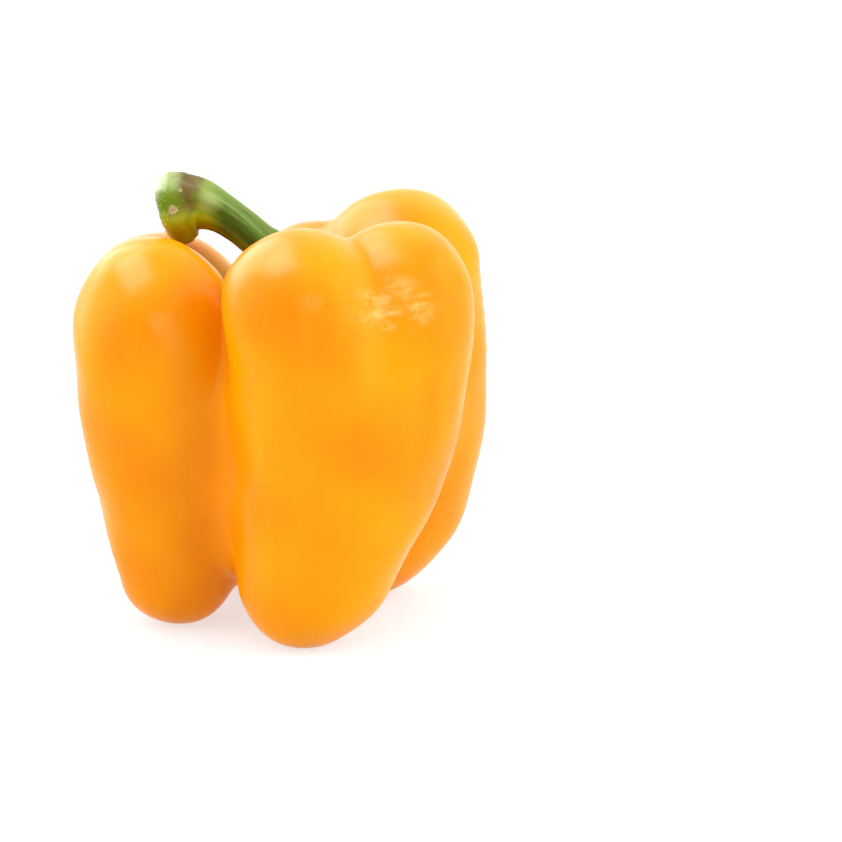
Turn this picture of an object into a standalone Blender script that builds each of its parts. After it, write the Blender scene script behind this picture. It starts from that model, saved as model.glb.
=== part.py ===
"""A yellow bell pepper standing on its lobes, with its calyx and its cut stem.

Three solids, each a piece of the real thing: the fruit, the calyx that lies in
its crown, and the stem that rises from the calyx and droops to its cut end.
Lengths are in metres and +Z is up. The origin is on the surface that the
pepper stands on, at the bottom centre of its bounding box.
"""

import math
from typing import NamedTuple

import bmesh
import bpy
import numpy as np


class Ball(NamedTuple):
    """A ball of flesh: its centre and its radius."""

    x: float
    y: float
    z: float
    radius: float


class Finish(NamedTuple):
    """The finish of a solid: its sRGB colour from 0 to 255, its roughness and its metallic share."""

    name: str
    colour: tuple
    roughness: float
    metallic: float


# The fruit's lobes. Each has one or two bulges, and a bulge is a ball swept
# through three others: at its foot, its belly and its shoulder.
LOBES = {
    "left": [
        (
            Ball(-0.0229, -0.0045, 0.0125, 0.0132),
            Ball(-0.0245, -0.0075, 0.0520, 0.0189),
            Ball(-0.0266, -0.0085, 0.0718, 0.0160),
        ),
    ],
    "front": [
        (
            Ball(0.0065, -0.0205, 0.0133, 0.0140),
            Ball(0.0105, -0.0215, 0.0480, 0.0180),
            Ball(0.0065, -0.0250, 0.0750, 0.0170),
        ),
        (
            Ball(0.0115, -0.0180, 0.0175, 0.0145),
            Ball(0.0221, -0.0150, 0.0500, 0.0180),
            Ball(0.0275, -0.0170, 0.0770, 0.0155),
        ),
    ],
    "right": [
        (
            Ball(0.0186, 0.0180, 0.0158, 0.0165),
            Ball(0.0266, 0.0180, 0.0365, 0.0195),
            Ball(0.0273, 0.0200, 0.0765, 0.0182),
        ),
        (
            Ball(0.0040, 0.0200, 0.0180, 0.0150),
            Ball(0.0035, 0.0230, 0.0480, 0.0180),
            Ball(0.0082, 0.0265, 0.0722, 0.0146),
        ),
    ],
    "back": [
        (
            Ball(-0.0170, 0.0230, 0.0133, 0.0140),
            Ball(-0.0230, 0.0190, 0.0480, 0.0180),
            Ball(-0.0268, 0.0150, 0.0664, 0.0192),
        ),
    ],
    "between front and right": [
        (
            Ball(0.0100, 0.0010, 0.0280, 0.0160),
            Ball(0.0190, 0.0005, 0.0460, 0.0180),
            Ball(0.0170, 0.0010, 0.0595, 0.0148),
        ),
    ],
    "between right and back": [
        (
            Ball(-0.0040, 0.0140, 0.0300, 0.0150),
            Ball(-0.0090, 0.0150, 0.0460, 0.0170),
            Ball(-0.0090, 0.0165, 0.0598, 0.0150),
        ),
    ],
}

# Three ellipsoids in the middle: the blossom end, the waist, and the floor of
# the crown's dimple.
CORES = (
    ((0.0010, 0.0020, 0.0360), (0.0290, 0.0270, 0.0300)),
    ((0.0025, 0.0020, 0.0480), (0.0350, 0.0245, 0.0262)),
    ((0.0030, 0.0030, 0.0625), (0.0240, 0.0230, 0.0114)),
)

# The rounding between two bulges of a lobe and in the crease between two
# lobes, at the crown and feet and at the belly.
BULGE_BLEND = (0.0014, 0.0050)
CREASE_BLEND = (0.0012, 0.0024)
BELLY_HEIGHT = 0.0400
BELLY_SPAN = 0.0240
SWEEP_STEPS = 25

# Shallow waves of the skin: how many radians a metre each runs along x, y and
# z, where it starts, and how deep it is.
WAVES = (
    ((210.0, -140.0, 260.0), 0.4, 0.00016),
    ((-120.0, 330.0, 190.0), 1.9, 0.00012),
    ((260.0, 180.0, -340.0), 4.1, 0.00010),
)

# Rays that find the skin fan out from a ring inside the flesh.
RING_RADIUS = 0.0170
RING_HEIGHT = 0.0480
FRUIT_SEGMENTS = 90
FRUIT_RINGS = 56
RAY_STEPS = 40

# The calyx, a star of leafy tips round the stem: each tip's azimuth in
# degrees, and how far it reaches from the middle.
CALYX_CENTRE = (0.0035, 0.0030)
CALYX_TIPS = (
    (-6.0, 0.0164),
    (52.0, 0.0126),
    (110.0, 0.0152),
    (166.0, 0.0155),
    (223.0, 0.0148),
    (286.0, 0.0124),
)
CALYX_VALLEY = 0.0104
TIP_HALF_ANGLE = 31.0
TIP_SHARPNESS = 1.5
CALYX_CLEARANCE = 0.0007
CALYX_THICKNESS = 0.0016
MIDRIB_HEIGHT = 0.0005
RIM_FULLNESS = 0.45
PAD_HEIGHT = 0.0769
PAD_RADIUS = 0.0079
PAD_SLOPE = 0.0024
CALYX_SEGMENTS = 72
CALYX_RINGS = 22

# The stem, a rounded bar along a smooth path from the calyx to its cut end.
STEM_CLEARANCE = 0.0003
STEM_PATH = (
    Ball(0.0026, 0.0030, PAD_HEIGHT + STEM_CLEARANCE, 0.0058),
    Ball(0.0026, 0.0030, 0.0781, 0.0053),
    Ball(0.0023, 0.0030, 0.0796, 0.0049),
    Ball(0.0015, 0.0031, 0.0812, 0.0046),
    Ball(0.0002, 0.0033, 0.0827, 0.0044),
    Ball(-0.0016, 0.0035, 0.0839, 0.0043),
    Ball(-0.0040, 0.0037, 0.0853, 0.0042),
    Ball(-0.0082, 0.0040, 0.0887, 0.0041),
    Ball(-0.0125, 0.0043, 0.0915, 0.0044),
    Ball(-0.0165, 0.0046, 0.0931, 0.0055),
    Ball(-0.0194, 0.0047, 0.0930, 0.0070),
    Ball(-0.0218, 0.0049, 0.0924, 0.0077),
    Ball(-0.0235, 0.0050, 0.0920, 0.0075),
    Ball(-0.0246, 0.0051, 0.0917, 0.0065),
)
STEM_RIBS = 6
RIB_DEPTH = 0.06
RIB_TWIST = 0.7
STEM_SEGMENTS = 48
STEM_RINGS = 52
BASE_SHARE = 0.08
UPRIGHT_SHARE = 0.25
CUT_SHARE = 0.16
CUT_ROUND = 0.0013
CUT_DISH = 0.0010
CUT_RELIEF = 0.00035

FRUIT_SKIN = Finish("fruit_skin", (249, 155, 0), 0.22, 0.0)
CALYX_LEAF = Finish("calyx_leaf", (98, 118, 36), 0.55, 0.0)
STEM_SKIN = Finish("stem_skin", (131, 137, 34), 0.45, 0.0)


def swept_balls(bulge):
    """The balls of a bulge, from its foot to its shoulder, on smooth curves through its three."""
    share = np.linspace(0.0, 1.0, SWEEP_STEPS)
    foot = 2 * (share - 0.5) * (share - 1)
    belly = 4 * share * (1 - share)
    shoulder = 2 * share * (share - 0.5)
    return np.stack([foot, belly, shoulder], axis=1) @ np.array(bulge)


def smooth_least(distances, blend):
    """The least of several distances, with the corners between them rounded."""
    least = np.min(distances, axis=0)
    spread = sum(np.exp((least - distance) / blend) for distance in distances)
    return least - blend * np.log(spread)


def blend_at(heights, blend):
    """The rounding at some heights: little at the crown and feet, and more at the belly."""
    ends, belly = blend
    return ends + (belly - ends) * np.exp(-(((heights - BELLY_HEIGHT) / BELLY_SPAN) ** 2))


def ellipsoid_distance(points, centre, radii):
    """About how far each point is outside an ellipsoid."""
    scaled = (points - centre) / radii
    stretch = np.linalg.norm(scaled, axis=1)
    slope = np.linalg.norm(scaled / radii, axis=1)
    return stretch * (stretch - 1) / np.maximum(slope, 1e-9)


def skin_distance(points):
    """How far each point is outside the fruit's skin; negative inside the flesh."""
    heights = points[:, 2]
    parts = [ellipsoid_distance(points, centre, radii) for centre, radii in CORES]
    for bulges in LOBES.values():
        gaps = []
        for bulge in bulges:
            reach = np.full(len(points), np.inf)
            for x, y, z, radius in swept_balls(bulge):
                reach = np.minimum(reach, np.linalg.norm(points - (x, y, z), axis=1) - radius)
            gaps.append(reach)
        parts.append(smooth_least(gaps, blend_at(heights, BULGE_BLEND)))
    distance = smooth_least(parts, blend_at(heights, CREASE_BLEND))
    for pace, start, depth in WAVES:
        distance = distance + depth * np.sin(points @ np.array(pace) + start)
    return distance


def axis_height(start, direction):
    """The height at which a vertical line through the ring's centre leaves the flesh."""
    height = start
    for _ in range(RAY_STEPS):
        height -= direction * skin_distance(np.array([[0.0, 0.0, height]]))[0]
    return height


def skin_points(turns, falls):
    """Points of the skin at an azimuth `turns` and a share `falls` of the way from crown to blossom end."""
    top = axis_height(RING_HEIGHT, 1)
    bottom = axis_height(RING_HEIGHT, -1)
    first = math.atan2(top - RING_HEIGHT, -RING_RADIUS)
    last = math.atan2(bottom - RING_HEIGHT, -RING_RADIUS)
    angle = first + (last - first) * falls
    outward = np.stack([np.cos(turns), np.sin(turns)], axis=1)
    rays = np.column_stack([outward * np.cos(angle)[:, None], np.sin(angle)])
    starts = np.column_stack([outward * RING_RADIUS, np.full(len(turns), RING_HEIGHT)])
    reach = np.zeros(len(turns))
    for _ in range(RAY_STEPS):
        reach -= 0.9 * skin_distance(starts + rays * reach[:, None])
    return starts + rays * reach[:, None]


def crown_heights(across, clearance):
    """The lowest heights over some (x, y) places of the crown that are a clearance outside the skin."""
    points = np.column_stack([across, np.full(len(across), 0.1000)])
    for _ in range(RAY_STEPS):
        points[:, 2] -= 0.9 * (skin_distance(points) - clearance)
    return points[:, 2]


def fruit_places(turns, falls):
    """Where the fruit's vertices go: on the skin, with the feet flat where they rest."""
    places = skin_points(turns, falls)
    places[:, 2] = np.maximum(places[:, 2], 0.0)
    return places


def calyx_reach(turns):
    """How far the calyx reaches at each azimuth: its valleys, with a pointed tip over each sepal."""
    reach = np.full(len(turns), CALYX_VALLEY)
    midrib = np.zeros(len(turns))
    for azimuth, tip in CALYX_TIPS:
        away = np.degrees(np.abs(np.angle(np.exp(1j * (turns - math.radians(azimuth))))))
        rise = np.clip(1 - away / TIP_HALF_ANGLE, 0, 1) ** TIP_SHARPNESS
        reach = reach + (tip - CALYX_VALLEY) * rise
        midrib = midrib + rise**2
    return reach, midrib


def calyx_places(turns, falls):
    """Where the calyx's vertices go: its top, its rim, and its underside close over the skin."""
    reach, midrib = calyx_reach(turns)
    outward = np.sin(falls * math.pi)
    upward = np.cos(falls * math.pi)
    radius = reach * outward
    across = np.column_stack([np.cos(turns), np.sin(turns)]) * radius[:, None] + CALYX_CENTRE
    side = np.sign(upward) * np.abs(upward) ** RIM_FULLNESS
    thickness = CALYX_THICKNESS + MIDRIB_HEIGHT * midrib * np.sin(outward * math.pi)
    heights = crown_heights(across, CALYX_CLEARANCE) + thickness * (1 + side) / 2
    pad = np.clip((PAD_RADIUS + PAD_SLOPE - radius) / PAD_SLOPE, 0, 1) * (upward > 0)
    pad = pad * pad * (3 - 2 * pad)
    heights = heights + (PAD_HEIGHT - heights) * pad
    return np.column_stack([across, heights])


def smooth_path(knots, shares):
    """Points on a Catmull-Rom curve through the knots, at shares 0 to 1 of the way, and its tangents."""
    knots = np.array(knots)
    padded = np.vstack([2 * knots[0] - knots[1], knots, 2 * knots[-1] - knots[-2]])
    station = np.clip(shares, 0, 1) * (len(knots) - 1)
    piece = np.minimum(station.astype(int), len(knots) - 2)
    along = (station - piece)[:, None]
    before, first, last, after = (padded[piece + step] for step in range(4))
    slope = last - before
    bend = 2 * before - 5 * first + 4 * last - after
    twist = 3 * (first - last) + after - before
    points = first + 0.5 * along * (slope + along * (bend + along * twist))
    tangents = 0.5 * (slope + along * (2 * bend + 3 * along * twist))[:, :3]
    return points, tangents / np.linalg.norm(tangents, axis=1)[:, None]


def stem_places(turns, falls):
    """Where the stem's vertices go: its flat base, its ribbed side, and its dished cut end."""
    shares = (falls - BASE_SHARE) / (1 - BASE_SHARE - CUT_SHARE)
    points, tangents = smooth_path(STEM_PATH, shares)
    upright = np.clip(1 - shares / UPRIGHT_SHARE, 0, 1)[:, None]
    tangents = tangents * (1 - upright) + np.array([0.0, 0.0, 1.0]) * upright
    tangents /= np.linalg.norm(tangents, axis=1)[:, None]
    beside = np.array([0.0, 1.0, 0.0]) - tangents * tangents[:, 1:2]
    beside /= np.linalg.norm(beside, axis=1)[:, None]
    over = np.cross(beside, tangents)
    ribs = 1 + RIB_DEPTH * np.cos(STEM_RIBS * turns + RIB_TWIST * shares * math.tau)
    inward = np.minimum(np.clip(falls / BASE_SHARE, 0, 1), np.clip((1 - falls) / CUT_SHARE, 0, 1))
    radius = points[:, 3] * ribs * inward
    cut = (shares > 1) * (CUT_ROUND * (1 - inward**4) - CUT_DISH * (1 - inward**2))
    ragged = (shares > 1) * inward * CUT_RELIEF * np.sin(5 * turns + 1.0) * np.cos(9 * inward)
    along = ragged + cut
    side = np.cos(turns)[:, None] * beside + np.sin(turns)[:, None] * over
    return points[:, :3] + side * radius[:, None] + tangents * along[:, None]


def solid(name, segments, rings, places, finish):
    """A named object from a UV sphere whose vertices are moved to the places of a form."""
    sphere = bmesh.new()
    bmesh.ops.create_uvsphere(sphere, u_segments=segments, v_segments=rings, radius=1.0)
    unit = np.array([vertex.co for vertex in sphere.verts])
    turns = np.arctan2(unit[:, 1], unit[:, 0])
    falls = np.arccos(np.clip(unit[:, 2], -1, 1)) / math.pi
    for vertex, place in zip(sphere.verts, places(turns, falls)):
        vertex.co = place
    mesh = bpy.data.meshes.new(name)
    sphere.to_mesh(mesh)
    sphere.free()
    mesh.shade_smooth()
    mesh.materials.append(material(finish))
    return bpy.data.objects.new(name, mesh)


def linear(channel):
    """An sRGB channel from 0 to 255 as a linear value."""
    value = channel / 255
    return value / 12.92 if value <= 0.04045 else ((value + 0.055) / 1.055) ** 2.4


def material(finish):
    """The Principled BSDF material of a finish."""
    made = bpy.data.materials.new(finish.name)
    made.use_nodes = True
    shader = made.node_tree.nodes["Principled BSDF"]
    shader.inputs["Base Color"].default_value = (*map(linear, finish.colour), 1.0)
    shader.inputs["Roughness"].default_value = finish.roughness
    shader.inputs["Metallic"].default_value = finish.metallic
    return made


def centre_over_origin(objects):
    """Moves the meshes so that the origin is at the bottom centre of their bounding box."""
    corners = np.array([vertex.co for thing in objects for vertex in thing.data.vertices])
    low = corners.min(axis=0)
    high = corners.max(axis=0)
    for thing in objects:
        for vertex in thing.data.vertices:
            vertex.co.x -= (low[0] + high[0]) / 2
            vertex.co.y -= (low[1] + high[1]) / 2


def clear_scene():
    """Removes every object, so that the script can run again in an open file."""
    for thing in list(bpy.data.objects):
        bpy.data.objects.remove(thing, do_unlink=True)


def main():
    """Builds the pepper."""
    clear_scene()
    collection = bpy.data.collections.new("bell_pepper")
    bpy.context.scene.collection.children.link(collection)
    pieces = (
        solid("fruit", FRUIT_SEGMENTS, FRUIT_RINGS, fruit_places, FRUIT_SKIN),
        solid("calyx", CALYX_SEGMENTS, CALYX_RINGS, calyx_places, CALYX_LEAF),
        solid("stem", STEM_SEGMENTS, STEM_RINGS, stem_places, STEM_SKIN),
    )
    centre_over_origin(pieces)
    for piece in pieces:
        collection.objects.link(piece)


if __name__ == "__main__":
    main()
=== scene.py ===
"""The looks of a yellow bell pepper: its waxy fruit, its puckered calyx and its ribbed, cut stem.

Every length is in metres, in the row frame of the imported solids: +Z is up, and
the camera looks along +Y.
"""

import logging
import math
from collections.abc import Callable
from dataclasses import dataclass
from enum import Enum
from functools import partial

import bmesh
import bpy
import numpy as np
from mathutils import Matrix, Vector
from mathutils.bvhtree import BVHTree


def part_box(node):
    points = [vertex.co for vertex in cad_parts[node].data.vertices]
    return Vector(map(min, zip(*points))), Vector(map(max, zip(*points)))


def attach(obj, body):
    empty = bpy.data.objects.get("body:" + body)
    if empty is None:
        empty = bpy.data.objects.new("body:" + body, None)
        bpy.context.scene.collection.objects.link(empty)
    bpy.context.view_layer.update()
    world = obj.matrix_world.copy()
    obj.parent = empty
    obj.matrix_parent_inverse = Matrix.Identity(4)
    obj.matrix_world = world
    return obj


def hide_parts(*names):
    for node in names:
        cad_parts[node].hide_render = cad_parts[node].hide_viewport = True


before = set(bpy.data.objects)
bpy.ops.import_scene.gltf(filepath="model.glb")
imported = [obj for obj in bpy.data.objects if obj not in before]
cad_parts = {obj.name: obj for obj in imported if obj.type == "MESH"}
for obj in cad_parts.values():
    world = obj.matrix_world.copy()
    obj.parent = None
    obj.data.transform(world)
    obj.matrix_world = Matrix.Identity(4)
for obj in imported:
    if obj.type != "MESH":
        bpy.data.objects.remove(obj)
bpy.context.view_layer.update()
LOG = logging.getLogger("bell_pepper")
MM = 0.001
PICTURE_SIDE = 842

# What the helpers for nodes and meshes take and give
Tree = bpy.types.NodeTree
Node = bpy.types.Node
Socket = bpy.types.NodeSocket
Value = Socket | float | tuple
Places = Callable[[np.ndarray, np.ndarray], np.ndarray]


class Slot(Enum):
    """The record's material slots."""

    FRUIT = "fruit_skin"
    CALYX = "calyx_leaf"
    STEM = "stem_skin"


# Colours, nodes and meshes


def linear(code: str) -> tuple[float, float, float, float]:
    """Turns an sRGB hex colour into linear red, green, blue and alpha.

    Args:
        code: Six hex digits after a number sign.

    Returns:
        The linear colour, with alpha 1.
    """
    channels = [int(code[place : place + 2], 16) / 255 for place in (1, 3, 5)]
    return (*(v / 12.92 if v <= 0.04045 else ((v + 0.055) / 1.055) ** 2.4 for v in channels), 1.0)


def feed(tree: Tree, node: Node, inputs: dict) -> None:
    """Sets a node's inputs, by name or place, to values, or links them to the sockets that feed them."""
    for key, value in inputs.items():
        if isinstance(value, Socket):
            tree.links.new(value, node.inputs[key])
        else:
            node.inputs[key].default_value = value


def add_node(tree: Tree, kind: str, settings: dict | None = None, inputs: dict | None = None) -> Node:
    """Adds a node with its settings and links.

    Args:
        tree: The shader or geometry tree that gets the node.
        kind: Blender's name for the type of node.
        settings: Values of the node's own properties.
        inputs: For each input, by name or place, a value or the socket that feeds it.

    Returns:
        The new node.
    """
    node = tree.nodes.new(kind)
    for name, value in (settings or {}).items():
        setattr(node, name, value)
    feed(tree, node, inputs or {})
    return node


def math_node(tree: Tree, operation: str, *values: Value, clamp: bool = False) -> Socket:
    """Adds a Math node and returns its output.

    Args:
        tree: The tree that gets the node.
        operation: The Math node's operation.
        values: Numbers or sockets, in the node's order.
        clamp: Whether the result is kept from 0 to 1.

    Returns:
        The node's output socket.
    """
    settings = {"operation": operation, "use_clamp": clamp}
    return add_node(tree, "ShaderNodeMath", settings, dict(enumerate(values))).outputs[0]


def vector_node(tree: Tree, operation: str, **values: Value) -> Socket:
    """Adds a Vector Math node and returns its output.

    Args:
        tree: The tree that gets the node.
        operation: The Vector Math node's operation.
        values: first, second and scale: numbers, vectors or sockets.

    Returns:
        The node's vector output, or its number for a dot product or a length.
    """
    places = {"first": 0, "second": 1, "scale": "Scale"}
    inputs = {places[name]: value for name, value in values.items()}
    node = add_node(tree, "ShaderNodeVectorMath", {"operation": operation}, inputs)
    return node.outputs["Value" if operation in ("DOT_PRODUCT", "LENGTH", "DISTANCE") else "Vector"]


def mixed(tree: Tree, share: Value, first: Value, second: Value) -> Socket:
    """Mixes two colours, or their sockets: the share says how much of the second shows."""
    settings = {"data_type": "RGBA", "clamp_factor": True}
    return add_node(tree, "ShaderNodeMix", settings, {0: share, 6: first, 7: second}).outputs[2]


def ranged(tree: Tree, value: Value, low: float, high: float, start: float = 0.0, end: float = 1.0) -> Socket:
    """Maps a value smoothly from low..high to start..end, and keeps it there.

    Args:
        tree: The tree that gets the node.
        value: The socket that is mapped.
        low: The value that gives start.
        high: The value that gives end.
        start: The result at low.
        end: The result at high.

    Returns:
        The mapped value's socket.
    """
    settings = {"interpolation_type": "SMOOTHSTEP"}
    inputs = {"Value": value, "From Min": low, "From Max": high, "To Min": start, "To Max": end}
    return add_node(tree, "ShaderNodeMapRange", settings, inputs).outputs["Result"]


def noise(tree: Tree, place: Socket, size: float, detail: float = 2.0, rough: float = 0.5) -> Socket:
    """Adds a noise whose blobs are of a real size.

    Args:
        tree: The tree that gets the node.
        place: The coordinates, in metres.
        size: How far apart the blobs are, in metres.
        detail: The octaves of finer noise.
        rough: How strong the finer noise is.

    Returns:
        The socket of the noise's value, which is about 0.5 in the middle.
    """
    inputs = {"Vector": place, "Scale": 1 / size, "Detail": detail, "Roughness": rough}
    return add_node(tree, "ShaderNodeTexNoise", None, inputs).outputs[0]


def near(tree: Tree, place: Socket, spot: tuple, inner: float, outer: float) -> Socket:
    """How near the surface is to a spot: 1 inside the inner radius and 0 outside the outer."""
    away = vector_node(tree, "DISTANCE", first=place, second=spot)
    return ranged(tree, away, inner, outer, 1.0, 0.0)


def dots(tree: Tree, place: Socket, gap: float, feature: str = "F1") -> Socket:
    """How far the surface is from the nearest of strewn dots, or from the net between them.

    Args:
        tree: The shader tree.
        place: The coordinates, in metres.
        gap: How far apart the dots are, in metres.
        feature: What the Voronoi texture measures.

    Returns:
        The socket of the distance, as a share of the gap.
    """
    settings = {"feature": feature}
    inputs = {"Vector": place, "Scale": 1 / gap}
    return add_node(tree, "ShaderNodeTexVoronoi", settings, inputs).outputs["Distance"]


def ramp(tree: Tree, value: Socket, stops: tuple) -> Socket:
    """Adds a colour ramp.

    Args:
        tree: The shader tree.
        value: The socket that runs along the ramp, from 0 to 1.
        stops: Pairs of a place on the ramp and a hex colour, from low to high.

    Returns:
        The colour's socket.
    """
    node = add_node(tree, "ShaderNodeValToRGB", None, {"Fac": value})
    elements = node.color_ramp.elements
    while len(elements) < len(stops):
        elements.new(0.5)
    for element, (place, code) in zip(elements, stops):
        element.position = place
        element.color = linear(code)
    return node.outputs["Color"]


def new_material(name: str) -> tuple[bpy.types.Material, Tree, Socket]:
    """Makes an empty material.

    Args:
        name: The material's name.

    Returns:
        The material, its node tree and its object coordinates.
    """
    made = bpy.data.materials.new(name)
    made.use_nodes = True
    place = add_node(made.node_tree, "ShaderNodeTexCoord").outputs["Object"]
    return made, made.node_tree, place


def finished(made: bpy.types.Material, looks: dict) -> bpy.types.Material:
    """Feeds a material's Principled BSDF with values and sockets, by name, and returns the material."""
    feed(made.node_tree, made.node_tree.nodes["Principled BSDF"], looks)
    return made


def bumped(
    tree: Tree, place: Socket, size: float, detail: float, depth: float, under: Socket | None = None
) -> Socket:
    """Adds a noisy bump of a real size and depth.

    Args:
        tree: The shader tree.
        place: The coordinates, in metres.
        size: How far apart the bumps are, in metres.
        detail: The octaves of finer noise.
        depth: How deep they are, in metres.
        under: The normal of a coarser bump that this one lies on.

    Returns:
        The normal's socket.
    """
    inputs = {"Height": noise(tree, place, size, detail), "Distance": depth, "Strength": 1.0}
    if under is not None:
        inputs["Normal"] = under
    return add_node(tree, "ShaderNodeBump", None, inputs).outputs["Normal"]


def new_object(name: str, mesh: bpy.types.Mesh) -> bpy.types.Object:
    """Links a new object for a mesh into the scene."""
    made = bpy.data.objects.new(name, mesh)
    bpy.context.scene.collection.objects.link(made)
    return made


def new_tree(name: str, sockets: tuple) -> tuple[Tree, Node]:
    """Makes a Geometry Nodes tree with named inputs.

    Args:
        name: The tree's name.
        sockets: Pairs of an input's name and its type, without Geometry, which every tree has.

    Returns:
        The tree and its Group Input node.
    """
    tree = bpy.data.node_groups.new(name, "GeometryNodeTree")
    tree.interface.new_socket("Geometry", in_out="INPUT", socket_type="NodeSocketGeometry")
    tree.interface.new_socket("Geometry", in_out="OUTPUT", socket_type="NodeSocketGeometry")
    for label, kind in sockets:
        tree.interface.new_socket(label, in_out="INPUT", socket_type="NodeSocket" + kind)
    return tree, tree.nodes.new("NodeGroupInput")


def end_tree(tree: Tree, geometry: Socket, finish: Socket) -> None:
    """Ends a Geometry Nodes tree with smooth shading, Realize Instances and Set Material.

    Args:
        tree: The tree.
        geometry: The socket of the finished geometry.
        finish: The socket of its material.
    """
    real = add_node(tree, "GeometryNodeRealizeInstances", None, {"Geometry": geometry})
    smooth = add_node(tree, "GeometryNodeSetShadeSmooth", None, {"Geometry": real.outputs[0]})
    dressed = add_node(
        tree, "GeometryNodeSetMaterial", None, {"Geometry": smooth.outputs[0], "Material": finish}
    )
    add_node(tree, "NodeGroupOutput", None, {0: dressed.outputs[0]})


def grow(host: bpy.types.Object, tree: Tree, values: dict) -> None:
    """Runs a Geometry Nodes tree on an object and keeps the result as its plain mesh.

    Args:
        host: The object, whose mesh is replaced.
        tree: The tree.
        values: The tree's inputs, by name.
    """
    modifier = host.modifiers.new(tree.name, "NODES")
    modifier.node_group = tree
    for item in tree.interface.items_tree:
        if item.in_out == "INPUT" and item.name in values:
            modifier[item.identifier] = values[item.name]
    depsgraph = bpy.context.evaluated_depsgraph_get()
    grown = bpy.data.meshes.new_from_object(
        host.evaluated_get(depsgraph), preserve_all_data_layers=True, depsgraph=depsgraph
    )
    host.modifiers.clear()
    host.data = grown


def ball_mesh(name: str, segments: int, rings: int, places: Places) -> bpy.types.Mesh:
    """Makes a closed mesh from a UV sphere whose vertices are moved to the places of a form.

    Args:
        name: The mesh's name.
        segments: The faces round the sphere.
        rings: The faces from pole to pole.
        places: Gives the places for arrays of azimuths and of shares of the way from pole to pole.

    Returns:
        The mesh.
    """
    sphere = bmesh.new()
    bmesh.ops.create_uvsphere(sphere, u_segments=segments, v_segments=rings, radius=1.0)
    unit = np.array([vertex.co for vertex in sphere.verts])
    turns = np.arctan2(unit[:, 1], unit[:, 0])
    falls = np.arccos(np.clip(unit[:, 2], -1, 1)) / math.pi
    for vertex, place in zip(sphere.verts, places(turns, falls)):
        vertex.co = place
    mesh = bpy.data.meshes.new(name)
    sphere.to_mesh(mesh)
    sphere.free()
    mesh.shade_smooth()
    return mesh


def touch_tree(skin: bpy.types.Object) -> BVHTree:
    """Makes the search tree by which rays find an object's surface."""
    mesh = skin.data
    return BVHTree.FromPolygons([v.co for v in mesh.vertices], [p.vertices for p in mesh.polygons])


def relief_tree() -> Tree:
    """Makes the tree that pushes a skin in and out along its normals by noise of a real size."""
    sockets = (("Size", "Float"), ("Depth", "Float"), ("Stretch", "Vector"), ("Seed", "Float"))
    tree, given = new_tree("skin_relief", (*sockets, ("Finish", "Material")))
    place = add_node(tree, "GeometryNodeInputPosition").outputs[0]
    normal = add_node(tree, "GeometryNodeInputNormal").outputs[0]
    stretched = vector_node(tree, "DIVIDE", first=place, second=given.outputs["Stretch"])
    scale = math_node(tree, "DIVIDE", 1.0, given.outputs["Size"])
    inputs = {"Vector": stretched, "W": given.outputs["Seed"], "Scale": scale, "Detail": 1.0}
    waves = add_node(tree, "ShaderNodeTexNoise", {"noise_dimensions": "4D"}, inputs).outputs[0]
    height = math_node(tree, "MULTIPLY", math_node(tree, "SUBTRACT", waves, 0.5), given.outputs["Depth"])
    push = vector_node(tree, "SCALE", first=normal, scale=height)
    moved = add_node(
        tree, "GeometryNodeSetPosition", None, {"Geometry": given.outputs["Geometry"], "Offset": push}
    )
    end_tree(tree, moved.outputs[0], given.outputs["Finish"])
    return tree


# Finishes


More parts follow.
